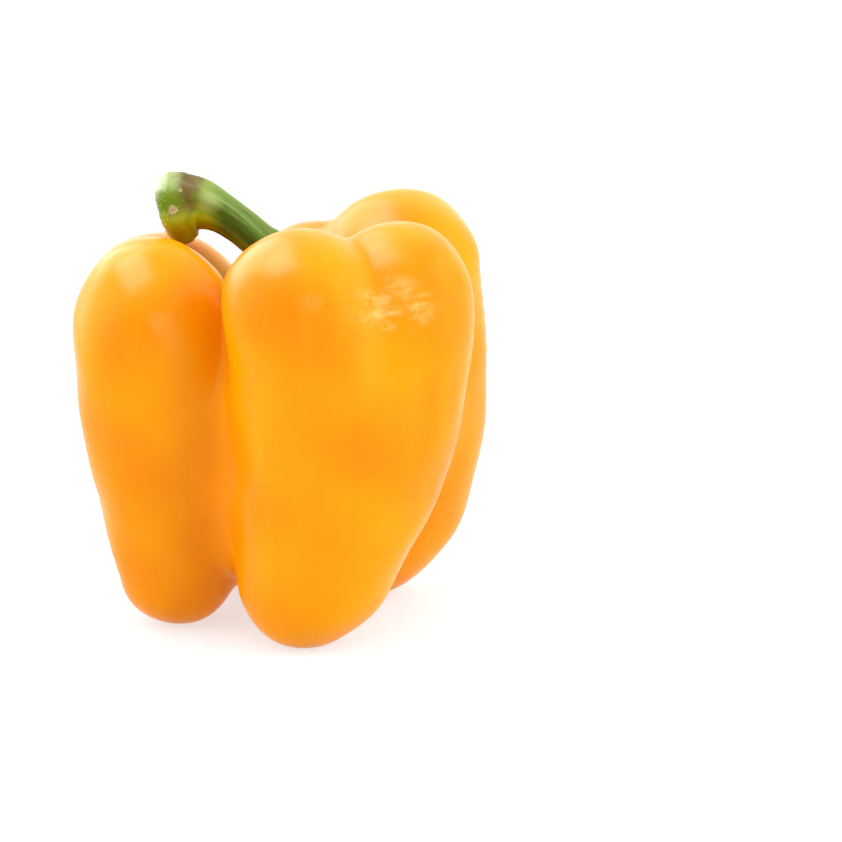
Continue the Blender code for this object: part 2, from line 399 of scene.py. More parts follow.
@dataclass(frozen=True)
class RipeSkin:
    """The waxy skin of a ripe bell pepper.

    Thin, smooth cuticle over juicy flesh: broad soft highlights, a pale sheen
    at grazing angles, and a colour that glows deeper in the furrows, because
    light goes in and comes out again. Colours vary slowly over a lobe, and
    faint stripes run from the crown to the blossom end.
    """

    body: str = "#e28800"
    deep: str = "#dc7600"
    ripe: str = "#e89800"
    # Yellower crown tint: the fruit's own tone near the crown, and painted light in the shaded gaps between
    # the upper lobes
    crown: str = "#c99600"
    speck: str = "#f0a62c"
    # The colour of the painted highlight on the front lobe's right shoulder
    wax: str = "#fad68a"
    roughness: float = 0.28
    roughness_change: tuple = (-0.04, 0.06)
    gloss: float = 0.09
    flesh: float = 0.1
    flesh_depth: float = 2.5 * MM
    flesh_reach: tuple = (1.0, 0.4, 0.05)
    crown_spot: tuple = (2 * MM, 3 * MM, 80 * MM)
    crown_reach: tuple = (12 * MM, 26 * MM)
    crown_share: float = 0.7
    # Where the painted highlight lies: a ragged, pale painted reflection on the front lobe's right shoulder
    bloom_spot: tuple = (26.0 * MM, -32.5 * MM, 77.3 * MM)
    bloom_shape: tuple = (1.0, 0.7, 1.6)
    bloom_reach: tuple = (4.5 * MM, 11.5 * MM)
    bloom_grain: float = 3.2 * MM
    bloom_share: float = 0.36
    body_share: float = 0.55
    blush_size: float = 30 * MM
    stripe_size: float = 5 * MM
    stripe_shape: tuple = (1.0, 1.0, 0.12)
    pit_gap: float = 2.2 * MM
    dull_size: float = 12 * MM
    swell_size: float = 6 * MM
    swell_depth: float = 0.05 * MM
    peel_size: float = 0.8 * MM
    peel_depth: float = 0.004 * MM

    def material(self) -> bpy.types.Material:
        """Builds the material."""
        made, tree, place = new_material("ripe_pepper_skin")
        stretched = {"Vector": place, "Scale": self.stripe_shape}
        lengthwise = add_node(tree, "ShaderNodeMapping", None, stretched).outputs[0]
        blush = ranged(tree, noise(tree, place, self.blush_size, 1.0), 0.35, 0.65)
        colour = mixed(tree, blush, linear(self.deep), linear(self.ripe))
        colour = mixed(tree, self.body_share, colour, linear(self.body))
        stripes = ranged(tree, noise(tree, lengthwise, self.stripe_size, 3.0), 0.42, 0.7, 0.0, 0.22)
        colour = mixed(tree, stripes, colour, linear(self.ripe))
        pits = ranged(tree, dots(tree, place, self.pit_gap), 0.05, 0.11, 0.28, 0.0)
        colour = mixed(tree, pits, colour, linear(self.speck))
        # Yellower tint round the crown: the fruit's own tone there, spread into the shaded gaps between the
        # upper lobes as painted light
        crown_tint_and_painted_light = near(tree, place, self.crown_spot, *self.crown_reach)
        crown_tint_and_painted_light = math_node(tree, "MULTIPLY", crown_tint_and_painted_light, self.crown_share)
        colour = mixed(tree, crown_tint_and_painted_light, colour, linear(self.crown))
        # Painted highlight: a ragged, pale painted reflection on the front lobe's right shoulder
        colour = mixed(tree, self._bloom(tree, place), colour, linear(self.wax))
        dull = noise(tree, place, self.dull_size, 2.0)
        least, most = (self.roughness + change for change in self.roughness_change)
        # Orange peel, about 0.8 mm from dimple to dimple and a few micrometres deep
        swell = bumped(tree, place, self.swell_size, 1.0, self.swell_depth)
        peel = bumped(tree, place, self.peel_size, 1.0, self.peel_depth, swell)
        looks = {
            "Base Color": colour,
            "Roughness": ranged(tree, dull, 0.3, 0.7, least, most),
            "Normal": peel,
            "Subsurface Weight": self.flesh,
            "Subsurface Radius": self.flesh_reach,
            "Subsurface Scale": self.flesh_depth,
            "Specular IOR Level": self.gloss,
        }
        return finished(made, looks)

    def _bloom(self, tree: Tree, place: Socket) -> Socket:
        """Finds where the ragged, pale painted highlight lies: a painted reflection on the front lobe's right
        shoulder.

        Args:
            tree: The shader tree.
            place: Object coordinates.

        Returns:
            The socket of how much of the painted highlight shows.
        """
        away = vector_node(tree, "SUBTRACT", first=place, second=self.bloom_spot)
        away = vector_node(tree, "MULTIPLY", first=away, second=self.bloom_shape)
        inside = ranged(tree, vector_node(tree, "LENGTH", first=away), *self.bloom_reach, 1.0, 0.0)
        slant = {"Vector": place, "Rotation": (0.0, 0.5, 0.0), "Scale": (0.6, 1.0, 1.3)}
        slanted = add_node(tree, "ShaderNodeMapping", None, slant).outputs[0]
        torn = ranged(tree, noise(tree, slanted, self.bloom_grain, 6.0, 0.62), 0.41, 0.64)
        return math_node(tree, "MULTIPLY", math_node(tree, "MULTIPLY", inside, torn), self.bloom_share)


@dataclass(frozen=True)
class LeafTissue:
    """The green, puckered tissue of the calyx: satin, darker in its folds, blotched with two greens and
    netted with paler veins.
    """

    leaf: str = "#637d24"
    shade: str = "#46601a"
    vein: str = "#8b9c3e"
    roughness: float = 0.5
    flesh: float = 0.08
    blotch_size: float = 3.5 * MM
    cell_size: float = 0.9 * MM
    wrinkle_size: float = 1.1 * MM
    wrinkle_depth: float = 0.12 * MM
    leaf_depth: float = 0.6 * MM

    def material(self) -> bpy.types.Material:
        """Builds the material."""
        made, tree, place = new_material("calyx_leaf_tissue")
        blotch = ranged(tree, noise(tree, place, self.blotch_size, 3.0), 0.35, 0.65)
        colour = mixed(tree, blotch, linear(self.shade), linear(self.leaf))
        net = ranged(tree, dots(tree, place, self.cell_size, "DISTANCE_TO_EDGE"), 0.0, 0.12, 0.35, 0.0)
        colour = mixed(tree, net, colour, linear(self.vein))
        looks = {
            "Base Color": colour,
            "Normal": bumped(tree, place, self.wrinkle_size, 2.0, self.wrinkle_depth),
            "Roughness": self.roughness,
            "Subsurface Weight": self.flesh,
            "Subsurface Scale": self.leaf_depth,
        }
        return finished(made, looks)


@dataclass(frozen=True)
class RibbedStalk:
    """The skin of the stem: satin green and streaked, olive gold below, with a brown bruise at its bend.

    It reads three attributes of the stem's mesh: grain, the place on the
    unrolled stem, whose z runs from 0 at the base to 3 at the cut; lift, 1 on
    the upper side and -1 below; and cut, 1 on the cut end, where the dry,
    corky tissue shows. Near the cut the skin is flecked. Painted highlight
    lies on the upper side: a pale patch near the cut, pale streaks, paler
    greens on top and a pale grey-green patch at the bend. Its dark streaks
    are painted groove shade.
    """

    # Colours round the stem, from below (0) to the top (1): olive gold below and dark green at the sides are
    # the stem's own; the paler greens at the top are painted highlight
    knob: tuple = (
        (0.0, "#9a880a"),
        (0.2, "#948e00"),
        (0.42, "#8c8c00"),
        (0.6, "#5c7800"),
        (0.8, "#627c04"),
        (1.0, "#7f9040"),
    )
    neck: tuple = (
        (0.0, "#6e6400"),
        (0.22, "#625c00"),
        (0.4, "#3c4c06"),
        (0.55, "#42590c"),
        (0.75, "#526d1e"),
        (1.0, "#6a823e"),
    )
    patches: tuple = (
        # A pale grey-green patch of painted highlight at the bend, then a yellow olive patch of the stem's
        # own colour
        ((-14.6 * MM, -1.5 * MM, 95.2 * MM), 0.8 * MM, 4.2 * MM, 0.75, "#a0ad6c"),
        ((-15.4 * MM, -2.5 * MM, 90.6 * MM), 0.4 * MM, 2.8 * MM, 0.7, "#a09c00"),
    )
    streak: str = "#93a76c"
    furrow: str = "#34440a"
    bruise: str = "#57421e"
    bruise_light: str = "#65502a"
    # The pale colour of the painted highlight on the upper side near the cut
    frost: str = "#bcc7a8"
    cork: str = "#6f5b36"
    cork_dark: str = "#443519"
    fleck: str = "#c3b48a"
    bruise_x: float = -19.6 * MM
    bruise_top: float = 100.5 * MM
    bruise_low: float = 88.5 * MM
    bruise_widths: tuple = (0.2 * MM, 2.8 * MM)
    bruise_edge: tuple = (-1.7 * MM, 1.5 * MM)
    bruise_grain: float = 2.4 * MM
    bruise_ragged: float = 5.0 * MM
    mottle_size: float = 1.5 * MM
    frost_grain: float = 1.6 * MM
    fleck_gap: float = 0.62 * MM
    few_gap: float = 1.9 * MM
    cork_grain: float = 0.7 * MM
    furrow_depth: float = 0.10 * MM
    pore_size: float = 0.35 * MM
    pore_depth: float = 0.02 * MM
    flesh_depth: float = 0.8 * MM
    knob_x: float = -16.5 * MM
    neck_x: float = -11.5 * MM
    roughness: float = 0.42
    dry_roughness: float = 0.9
    gloss: float = 0.11
    flesh: float = 0.06

    def material(self) -> bpy.types.Material:
        """Builds the material."""
        made, tree, place = new_material("pepper_stalk_skin")
        grain = add_node(tree, "ShaderNodeAttribute", {"attribute_name": "grain"}).outputs["Vector"]
        lift = add_node(tree, "ShaderNodeAttribute", {"attribute_name": "lift"}).outputs["Fac"]
        cut = add_node(tree, "ShaderNodeAttribute", {"attribute_name": "cut"}).outputs["Fac"]
        axes = add_node(tree, "ShaderNodeSeparateXYZ", None, {0: place})
        colour = self._green(tree, grain, lift, axes.outputs["X"])
        # The first patch is painted highlight, the second the stem's own yellow olive
        for spot, inner, outer, share, code in self.patches:
            shown = math_node(tree, "MULTIPLY", near(tree, place, spot, inner, outer), share)
            colour = mixed(tree, shown, colour, linear(code))
        colour = self._bruised(tree, place, axes, colour)
        colour = self._frosted(tree, place, grain, lift, colour)
        fibres = ranged(tree, noise(tree, place, self.cork_grain, 4.0), 0.35, 0.65)
        cork = mixed(tree, fibres, linear(self.cork_dark), linear(self.cork))
        ribs = bumped(tree, grain, 1.0, 3.0, self.furrow_depth)
        looks = {
            "Base Color": mixed(tree, cut, colour, cork),
            "Roughness": ranged(tree, cut, 0.0, 1.0, self.roughness, self.dry_roughness),
            "Normal": bumped(tree, place, self.pore_size, 2.0, self.pore_depth, ribs),
            "Specular IOR Level": self.gloss,
            "Subsurface Weight": self.flesh,
            "Subsurface Scale": self.flesh_depth,
        }
        return finished(made, looks)

    def _green(self, tree: Tree, grain: Socket, lift: Socket, x: Socket) -> Socket:
        """Mixes the greens of the stem, with painted highlight on top and in pale streaks, and painted groove
        shade in dark streaks.

        Args:
            tree: The shader tree.
            grain: The place on the unrolled stem.
            lift: 1 on the upper side and -1 below.
            x: The x coordinate.

        Returns:
            The socket of the colour.
        """
        wobble = math_node(tree, "SUBTRACT", noise(tree, grain, 2.2, 3.0), 0.5)
        # The colour runs round the stem by lift: olive gold below, paler greens on top as painted highlight
        height = math_node(tree, "MULTIPLY_ADD", lift, 0.5, 0.5)
        height = math_node(tree, "MULTIPLY_ADD", wobble, 0.6, height, clamp=True)
        toward_neck = ranged(tree, x, self.knob_x, self.neck_x)
        colour = mixed(tree, toward_neck, ramp(tree, height, self.knob), ramp(tree, height, self.neck))
        # Pale streaks along the grain, shown mostly on the upper side: painted highlight
        lines = noise(tree, grain, 0.7, 3.0)
        upper = ranged(tree, lift, -0.1, 0.8, 0.05, 0.5)
        pale = math_node(tree, "MULTIPLY", ranged(tree, lines, 0.54, 0.72), upper)
        pale = math_node(tree, "MULTIPLY", pale, math_node(tree, "MULTIPLY_ADD", toward_neck, 0.75, 0.25))
        colour = mixed(tree, pale, colour, linear(self.streak))
        # Dark streaks along the grain, painted groove shade, deepest toward the neck
        depth = math_node(tree, "MULTIPLY_ADD", toward_neck, 0.5, 0.15)
        dark = math_node(tree, "MULTIPLY", ranged(tree, lines, 0.46, 0.32), depth)
        return mixed(tree, dark, colour, linear(self.furrow))

    def _bruised(self, tree: Tree, place: Socket, axes: Node, colour: Socket) -> Socket:
        """Lays the brown bruise at the bend over the greens: wide on top, narrowing to a line below.

        Args:
            tree: The shader tree.
            place: Object coordinates.
            axes: The node that separates them.
            colour: The socket of the greens.

        Returns:
            The socket of the colour.
        """
        ragged = math_node(tree, "SUBTRACT", noise(tree, place, self.bruise_grain, 4.0, 0.6), 0.5)
        shifted = math_node(tree, "MULTIPLY_ADD", ragged, self.bruise_ragged, axes.outputs["X"])
        away = math_node(tree, "ABSOLUTE", math_node(tree, "SUBTRACT", shifted, self.bruise_x))
        height = axes.outputs["Z"]
        width = ranged(tree, height, self.bruise_low + 2 * MM, self.bruise_top, *self.bruise_widths)
        inside = math_node(tree, "SUBTRACT", width, away)
        mask = ranged(tree, inside, *self.bruise_edge, 0.0, 0.92)
        fade = ranged(tree, height, self.bruise_low, self.bruise_low + 5 * MM)
        mask = math_node(tree, "MULTIPLY", mask, fade)
        mottle = ranged(tree, noise(tree, place, self.mottle_size, 4.0, 0.6), 0.35, 0.7)
        brown = mixed(tree, mottle, linear(self.bruise), linear(self.bruise_light))
        return mixed(tree, mask, colour, brown)

    def _frosted(self, tree: Tree, place: Socket, grain: Socket, lift: Socket, colour: Socket) -> Socket:
        """Lays a pale painted highlight on the upper side near the cut end, and the flecks, over the colour.

        Args:
            tree: The shader tree.
            place: Object coordinates.
            grain: The place on the unrolled stem.
            lift: 1 on the upper side and -1 below.
            colour: The socket of the colour so far.

        Returns:
            The socket of the colour.
        """
        along = add_node(tree, "ShaderNodeSeparateXYZ", None, {0: grain}).outputs["Z"]
        ragged = math_node(tree, "SUBTRACT", noise(tree, place, self.frost_grain, 4.0, 0.6), 0.5)
        edge = math_node(tree, "MULTIPLY_ADD", ragged, 0.5, along)
        upper = ranged(tree, lift, 0.35, 0.95, 0.0, 0.6)
        # Painted highlight: pale, on the upper side near the cut end
        frost = math_node(tree, "MULTIPLY", ranged(tree, edge, 2.7, 3.0), upper)
        colour = mixed(tree, frost, colour, linear(self.frost))
        near_end = ranged(tree, edge, 2.66, 2.98, 0.0, 0.75)
        flecks = ranged(tree, dots(tree, place, self.fleck_gap), 0.16, 0.3, 1.0, 0.0)
        flecks = math_node(tree, "MULTIPLY", flecks, near_end)
        colour = mixed(tree, flecks, colour, linear(self.fleck))
        few = ranged(tree, dots(tree, place, self.few_gap), 0.03, 0.07, 0.5, 0.0)
        return mixed(tree, few, colour, linear(self.fleck))


@dataclass(frozen=True)
class DryCork:
    """Dried plant tissue, as on a scar or a torn fibre: matt, tan and speckled with brown."""

    name: str
    pale: str
    dark: str
    grain: float = 0.35 * MM
    crust: float = 0.05 * MM
    roughness: float = 0.85

    def material(self) -> bpy.types.Material:
        """Builds the material."""
        made, tree, place = new_material(self.name)
        speckle = ranged(tree, noise(tree, place, self.grain, 3.0), 0.4, 0.62)
        looks = {
            "Base Color": mixed(tree, speckle, linear(self.dark), linear(self.pale)),
            "Normal": bumped(tree, place, self.grain, 2.0, self.crust),
            "Roughness": self.roughness,
        }
        return finished(made, looks)


@dataclass(frozen=True)
class PaintedFloor:
    """A matt white studio sweep, with the faintest mottle of its paint."""

    light: str = "#9c9c9c"
    shade: str = "#999897"
    lit: str = "#ffffff"
    glow: float = 0.62
    mottle_size: float = 0.4
    roughness: float = 0.9
    gloss: float = 0.1

    def material(self) -> bpy.types.Material:
        """Builds the material."""
        made, tree, place = new_material("matt_white_sweep")
        mottle = noise(tree, place, self.mottle_size, 1.0)
        looks = {
            "Base Color": mixed(tree, mottle, linear(self.shade), linear(self.light)),
            "Roughness": self.roughness,
            "Specular IOR Level": self.gloss,
            "Emission Color": linear(self.lit),
            "Emission Strength": self.glow,
        }
        return finished(made, looks)


# The pepper's forms


class Ball(tuple):
    """A ball of flesh: its centre's x, y and z, and its radius."""

    def __new__(cls, x: float, y: float, z: float, radius: float) -> "Ball":
        """Keeps the four numbers in order."""
        return super().__new__(cls, (x, y, z, radius))


@dataclass(frozen=True)
class Flesh:
    """The fruit's solid form, from which its skin and the bed of its calyx are found.

    Each lobe has one or two bulges, and a bulge is a ball swept through three
    others: at its foot, its belly and its shoulder. Ellipsoids fill the
    middle, and the corners between the forms are rounded.
    """

    lobes: tuple = (
        (
            (
                Ball(-0.0229, -0.0045, 0.0125, 0.0132),
                Ball(-0.0245, -0.0075, 0.0520, 0.0189),
                Ball(-0.0266, -0.0085, 0.0718, 0.0160),
            ),
        ),
        (
            (
                Ball(0.0065, -0.0205, 0.0133, 0.0140),
                Ball(0.0105, -0.0215, 0.0480, 0.0180),
                Ball(0.0065, -0.0250, 0.0750, 0.0170),
            ),
            (
                Ball(0.0115, -0.0180, 0.0175, 0.0145),
                Ball(0.0221, -0.0150, 0.0500, 0.0180),
                Ball(0.0275, -0.0170, 0.0770, 0.0155),
            ),
        ),
        (
            (
                Ball(0.0186, 0.0180, 0.0158, 0.0165),
                Ball(0.0266, 0.0180, 0.0365, 0.0195),
                Ball(0.0273, 0.0200, 0.0765, 0.0182),
            ),
            (
                Ball(0.0040, 0.0200, 0.0180, 0.0150),
                Ball(0.0035, 0.0230, 0.0480, 0.0180),
                Ball(0.0082, 0.0265, 0.0722, 0.0146),
            ),
        ),
        (
            (
                Ball(-0.0170, 0.0230, 0.0133, 0.0140),
                Ball(-0.0230, 0.0190, 0.0480, 0.0180),
                Ball(-0.0268, 0.0150, 0.0664, 0.0192),
            ),
        ),
        (
            (
                Ball(0.0100, 0.0010, 0.0280, 0.0160),
                Ball(0.0190, 0.0005, 0.0460, 0.0180),
                Ball(0.0170, 0.0010, 0.0595, 0.0148),
            ),
        ),
        (
            (
                Ball(-0.0040, 0.0140, 0.0300, 0.0150),
                Ball(-0.0090, 0.0150, 0.0460, 0.0170),
                Ball(-0.0090, 0.0165, 0.0598, 0.0150),
            ),
        ),
    )
    cores: tuple = (
        ((0.0010, 0.0020, 0.0360), (0.0290, 0.0270, 0.0300)),
        ((0.0025, 0.0020, 0.0480), (0.0350, 0.0245, 0.0262)),
        ((0.0030, 0.0030, 0.0625), (0.0240, 0.0230, 0.0114)),
    )
    bulge_blend: tuple = (0.0014, 0.0050)
    crease_blend: tuple = (0.0012, 0.0024)
    belly_height: float = 0.0400
    belly_span: float = 0.0240
    sweep_steps: int = 25
    waves: tuple = (
        ((210.0, -140.0, 260.0), 0.4, 0.00016),
        ((-120.0, 330.0, 190.0), 1.9, 0.00012),
        ((260.0, 180.0, -340.0), 4.1, 0.00010),
    )
    ring_radius: float = 0.0170
    ring_height: float = 0.0480
    ray_steps: int = 32

    def _swept(self, bulge: tuple) -> np.ndarray:
        """The balls of a bulge, from its foot to its shoulder."""
        share = np.linspace(0.0, 1.0, self.sweep_steps)
        weights = (2 * (share - 0.5) * (share - 1), 4 * share * (1 - share), 2 * share * (share - 0.5))
        return np.stack(weights, axis=1) @ np.array(bulge)

    def _rounding(self, heights: np.ndarray, blend: tuple) -> np.ndarray:
        """The rounding at some heights: little at the crown and feet, and more at the belly."""
        ends, belly = blend
        return ends + (belly - ends) * np.exp(-(((heights - self.belly_height) / self.belly_span) ** 2))

    @staticmethod
    def _least(distances: list, blend: np.ndarray) -> np.ndarray:
        """The least of several distances, with the corners between them rounded."""
        least = np.min(distances, axis=0)
        return least - blend * np.log(sum(np.exp((least - distance) / blend) for distance in distances))

    def distance(self, points: np.ndarray) -> np.ndarray:
        """Finds how far points are outside the skin.

        Args:
            points: Rows of x, y and z.

        Returns:
            The distances, negative inside the flesh.
        """
        heights = points[:, 2]
        forms = []
        for centre, radii in self.cores:
            scaled = (points - centre) / radii
            stretch = np.linalg.norm(scaled, axis=1)
            slope = np.linalg.norm(scaled / radii, axis=1)
            forms.append(stretch * (stretch - 1) / np.maximum(slope, 1e-9))
        for bulges in self.lobes:
            gaps = []
            for bulge in bulges:
                reach = np.full(len(points), np.inf)
                for x, y, z, radius in self._swept(bulge):
                    reach = np.minimum(reach, np.linalg.norm(points - (x, y, z), axis=1) - radius)
                gaps.append(reach)
            forms.append(self._least(gaps, self._rounding(heights, self.bulge_blend)))
        away = self._least(forms, self._rounding(heights, self.crease_blend))
        for pace, start, depth in self.waves:
            away = away + depth * np.sin(points @ np.array(pace) + start)
        return away

    def _axis_height(self, direction: int) -> float:
        """The height at which a vertical line through the middle leaves the flesh, up (1) or down (-1)."""
        height = self.ring_height
        for _ in range(self.ray_steps):
            height -= direction * self.distance(np.array([[0.0, 0.0, height]]))[0]
        return height

    def skin(self, turns: np.ndarray, falls: np.ndarray) -> np.ndarray:
        """Finds places on the skin by rays that fan out from a ring inside the flesh.

        Args:
            turns: Azimuths, in radians.
            falls: Shares of the way from the crown to the blossom end.

        Returns:
            Rows of x, y and z, with the feet flat where they rest.
        """
        rise = self._axis_height(1) - self.ring_height
        drop = self._axis_height(-1) - self.ring_height
        first = math.atan2(rise, -self.ring_radius)
        last = math.atan2(drop, -self.ring_radius)
        angle = first + (last - first) * falls
        outward = np.stack([np.cos(turns), np.sin(turns)], axis=1)
        rays = np.column_stack([outward * np.cos(angle)[:, None], np.sin(angle)])
        starts = np.column_stack([outward * self.ring_radius, np.full(len(turns), self.ring_height)])
        reach = np.zeros(len(turns))
        for _ in range(self.ray_steps):
            reach -= 0.9 * self.distance(starts + rays * reach[:, None])
        places = starts + rays * reach[:, None]
        places[:, 2] = np.maximum(places[:, 2], 0.0)
        return places

    def crown(self, across: np.ndarray, clearance: float) -> np.ndarray:
        """Finds the lowest heights over some places of the crown that are a clearance outside the skin.

        Args:
            across: Rows of x and y.
            clearance: The least distance from the skin.

        Returns:
            The heights.
        """
        points = np.column_stack([across, np.full(len(across), 0.1000)])
        for _ in range(self.ray_steps):
            points[:, 2] -= 0.9 * (self.distance(points) - clearance)
        return points[:, 2]


@dataclass(frozen=True)
class Relief:
    """The gentle unevenness of a skin: how far apart its waves are, how deep, how long and which."""

    size: float
    depth: float
    stretch: tuple
    seed: float

    def wave(self, skin: bpy.types.Object, waving: Tree, finish: bpy.types.Material) -> None:
        """Makes a skin uneven and dresses it.

        Args:
            skin: The object, whose mesh is replaced.
            waving: The tree that pushes skins in and out.
            finish: The skin's material.
        """
        inputs = {label.capitalize(): value for label, value in vars(self).items()}
        grow(skin, waving, inputs | {"Finish": finish})


@dataclass
class Fruit:
    """The whole fruit, a finer skin over the solid of its CAD node, with the scar of its blossom."""

    flesh: Flesh
    segments: int = 320
    rings: int = 190
    relief: Relief = Relief(9 * MM, 0.30 * MM, (1.0, 1.0, 1.8), 3.7)
    scar_seed: int = 11
    scar_points: int = 40
    scar_radius: float = 2.6 * MM
    scar_height: float = 0.5 * MM

    def shift(self, places: np.ndarray) -> np.ndarray:
        """Finds how far the form is moved to stand where the CAD node stands.

        Args:
            places: The skin's places, before they are moved.

        Returns:
            The x and y to add.
        """
        low, high = (np.array(corner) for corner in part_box("fruit"))
        middle = (places.min(axis=0) + places.max(axis=0)) / 2
        return ((low + high) / 2 - middle)[:2]

    def build(self, waving: Tree) -> tuple[bpy.types.Object, np.ndarray]:
        """Builds the skin.

        Args:
            waving: The tree that makes the skin gently uneven.

        Returns:
            The skin's object, and how far its form was moved along x and y.
        """
        mesh = ball_mesh("fruit_skin", self.segments, self.rings, self.flesh.skin)
        places = np.array([vertex.co for vertex in mesh.vertices])
        moved = self.shift(places)
        mesh.transform(Matrix.Translation((*moved, 0.0)))
        skin = new_object("fruit_skin", mesh)
        self.relief.wave(skin, waving, RipeSkin().material())
        self._rest(skin.data)
        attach(skin, "root")
        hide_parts("fruit")
        return skin, moved

    @staticmethod
    def _rest(mesh: bpy.types.Mesh) -> None:
        """Keeps the feet on the ground, after the relief has moved them."""
        for vertex in mesh.vertices:
            vertex.co.z = max(vertex.co.z, 0.0)

    def build_scar(self, skin: bpy.types.Object) -> bpy.types.Object:
        """Builds the corky scar in the hollow of the blossom end.

        Args:
            skin: The fruit's skin, on which the scar lies.

        Returns:
            The scar's object.
        """
        place, normal, _, _ = touch_tree(skin).ray_cast(Vector((0.0, 0.0, -0.01)), Vector((0.0, 0.0, 1.0)))
        wobble = np.random.default_rng(self.scar_seed).uniform(0.75, 1.15, self.scar_points)
        stations = np.linspace(-math.pi, math.pi, self.scar_points)

        def scab(turns: np.ndarray, falls: np.ndarray) -> np.ndarray:
            """Places a flat, ragged button round the origin."""
            ragged = np.interp(turns, stations, np.append(wobble[:-1], wobble[0]))
            radius = self.scar_radius * ragged * np.sin(falls * math.pi) ** 0.8
            ripples = 1 + 0.4 * np.cos(radius / self.scar_radius * 8)
            height = self.scar_height * np.cos(falls * math.pi) * ripples
            return np.column_stack([np.cos(turns) * radius, np.sin(turns) * radius, height])

        mesh = ball_mesh("blossom_scar", 60, 16, scab)
        turn = Vector((0, 0, 1)).rotation_difference(normal).to_matrix().to_4x4()
        mesh.transform(Matrix.Translation(place) @ turn)
        mesh.materials.append(DryCork("dry_blossom_scar", "#a58a52", "#5e4520").material())
        scar = new_object("blossom_scar", mesh)
        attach(scar, "root")
        return scar


@dataclass
class Calyx:
    """The star of leafy tips that lies in the crown, under the stem."""

    flesh: Flesh
    moved: np.ndarray
    centre: tuple = (0.0035, 0.0030)
    tips: tuple = (
        (-6.0, 0.0164),
        (52.0, 0.0126),
        (110.0, 0.0152),
        (166.0, 0.0155),
        (223.0, 0.0148),
        (286.0, 0.0124),
    )
    valley: float = 0.0104
    half_angle: float = 31.0
    sharpness: float = 1.5
    clearance: float = 0.0004
    thickness: float = 0.0016
    midrib: float = 0.0007
    pucker: float = 0.00022
    rim_fullness: float = 0.45
    pad_height: float = 0.0769
    pad_radius: float = 0.0079
    pad_slope: float = 0.0024
    relief: Relief = Relief(1.6 * MM, 0.22 * MM, (1.0, 1.0, 1.0), 8.1)
    segments: int = 240
    rings: int = 60

    def _places(self, turns: np.ndarray, falls: np.ndarray) -> np.ndarray:
        """Where the calyx's vertices go: its top with midribs and puckers, its rim, and its underside."""
        reach = np.full(len(turns), self.valley)
        ridge = np.zeros(len(turns))
        for azimuth, tip in self.tips:
            away = np.degrees(np.abs(np.angle(np.exp(1j * (turns - math.radians(azimuth))))))
            rise = np.clip(1 - away / self.half_angle, 0, 1) ** self.sharpness
            reach = reach + (tip - self.valley) * rise
            ridge = ridge + rise**3
        outward = np.sin(falls * math.pi)
        upward = np.cos(falls * math.pi)
        radius = reach * outward
        across = np.column_stack([np.cos(turns), np.sin(turns)]) * radius[:, None] + self.centre
        side = np.sign(upward) * np.abs(upward) ** self.rim_fullness
        folds = np.sin(17 * turns + 3 * np.sin(5 * turns)) * np.sin(np.clip(outward, 0, 1) * math.pi) ** 0.5
        thickness = self.thickness + self.midrib * ridge * np.sin(outward * math.pi) + self.pucker * folds
        heights = self.flesh.crown(across, self.clearance) + thickness * (1 + side) / 2
        pad = np.clip((self.pad_radius + self.pad_slope - radius) / self.pad_slope, 0, 1) * (upward > 0)
        pad = pad * pad * (3 - 2 * pad)
        heights = heights + (self.pad_height - heights) * pad
        return np.column_stack([across, heights])

    def build(self, waving: Tree) -> bpy.types.Object:
        """Builds the calyx.

        Args:
            waving: The tree that wrinkles its skin.

        Returns:
            The calyx's object.
        """
        mesh = ball_mesh("calyx_star", self.segments, self.rings, self._places)
        mesh.transform(Matrix.Translation((*self.moved, 0.0)))
        star = new_object("calyx_star", mesh)
        self.relief.wave(star, waving, LeafTissue().material())
        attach(star, "root")
        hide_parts("calyx")
        return star


